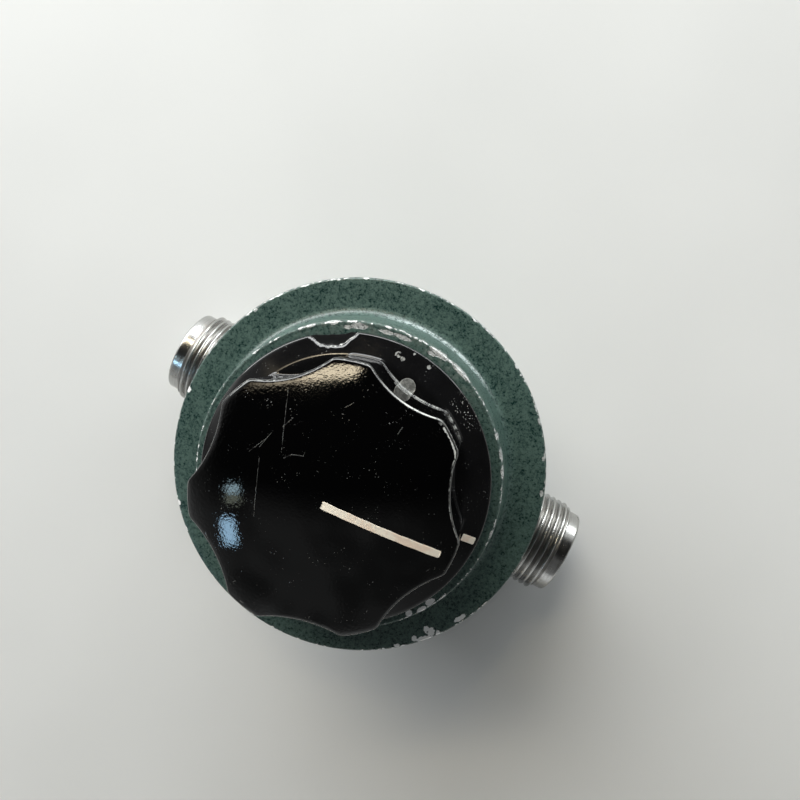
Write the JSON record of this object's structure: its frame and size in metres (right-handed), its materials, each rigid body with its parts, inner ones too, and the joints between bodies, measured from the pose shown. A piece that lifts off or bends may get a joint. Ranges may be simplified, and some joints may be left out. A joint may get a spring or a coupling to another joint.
{
  "type": "variable tuning capacitor",
  "caption": "Coaxial variable capacitor: round flanged green housing, threaded jacks on both sides, and a fluted black pointer knob turning semicircular plates.",
  "frame": {"origin": "centre of the rear cover's outer face, on the surface it stands on", "axes": "+Z along the control shaft towards the knob, +X towards the right-hand connector, which the pointer is nearest to at rest"},
  "size_m": [0.0738, 0.0566, 0.0584],
  "materials": {
    "green_enamel": "dark teal-green hammertone enamel, chipped to bare metal at the edges",
    "aluminium_plate": "satin",
    "gasket_rubber": "matte",
    "steel_screws": "satin",
    "nickel_plate": "bright nickel, slightly worn",
    "ptfe": "satin white",
    "gold_plate": "bright gold plate",
    "brass": "satin",
    "copper": "dull copper",
    "steatite": "unglazed ceramic",
    "black_plastic": "high gloss, lightly scratched",
    "blued_steel": "blackened",
    "cream_fill": "cream paint fill"
  },
  "bodies": {
    "housing_assembly": {"front_housing": "green_enamel", "body_can": "green_enamel", "rear_cover": "aluminium_plate", "cover_gasket": "gasket_rubber", "cover_screws": "steel_screws", "right_connector_shell": "nickel_plate", "right_connector_washer": "nickel_plate", "right_insulator": "ptfe", "right_insulator_retainer": "brass", "right_centre_contact": "gold_plate", "left_connector_shell": "nickel_plate", "left_connector_washer": "nickel_plate", "left_insulator": "ptfe", "left_insulator_retainer": "brass", "left_centre_contact": "gold_plate", "coupling_strap": "copper", "front_plate": "aluminium_plate", "rear_plate": "aluminium_plate", "frame_pillars": "brass", "frame_screws": "steel_screws", "front_insulator_bar": "steatite", "rear_insulator_bar": "steatite", "insulator_screws": "steel_screws", "stator_plates": "aluminium_plate", "stator_spacers": "brass", "stator_rods": "brass", "stator_rod_nuts": "brass", "stop_pin": "steel_screws", "bearing_ball": "steel_screws", "bearing_screw": "brass", "bearing_lock_nut": "brass", "shaft_bushing": "brass", "bushing_lock_washer": "steel_screws", "bushing_nut": "steel_screws", "thrust_washer": "brass", "wiper_spring": "copper", "wiper_rivet": "brass"},
    "rotor": {"shaft": "steel_screws", "rotor_plates": "aluminium_plate", "rotor_spacers": "brass", "stop_collar": "brass", "retaining_clip": "steel_screws", "knob": "black_plastic", "knob_insert": "brass", "knob_set_screws": "blued_steel", "pointer_line": "cream_fill", "skirt_mark": "cream_fill"}
  },
  "joints": [
    {"name": "tuning", "type": "hinge", "parent": "housing_assembly", "child": "rotor", "pos_m": [0, 0, 0.03], "axis": [0, 0, 1], "range_deg": [0, 180]}
  ]
}
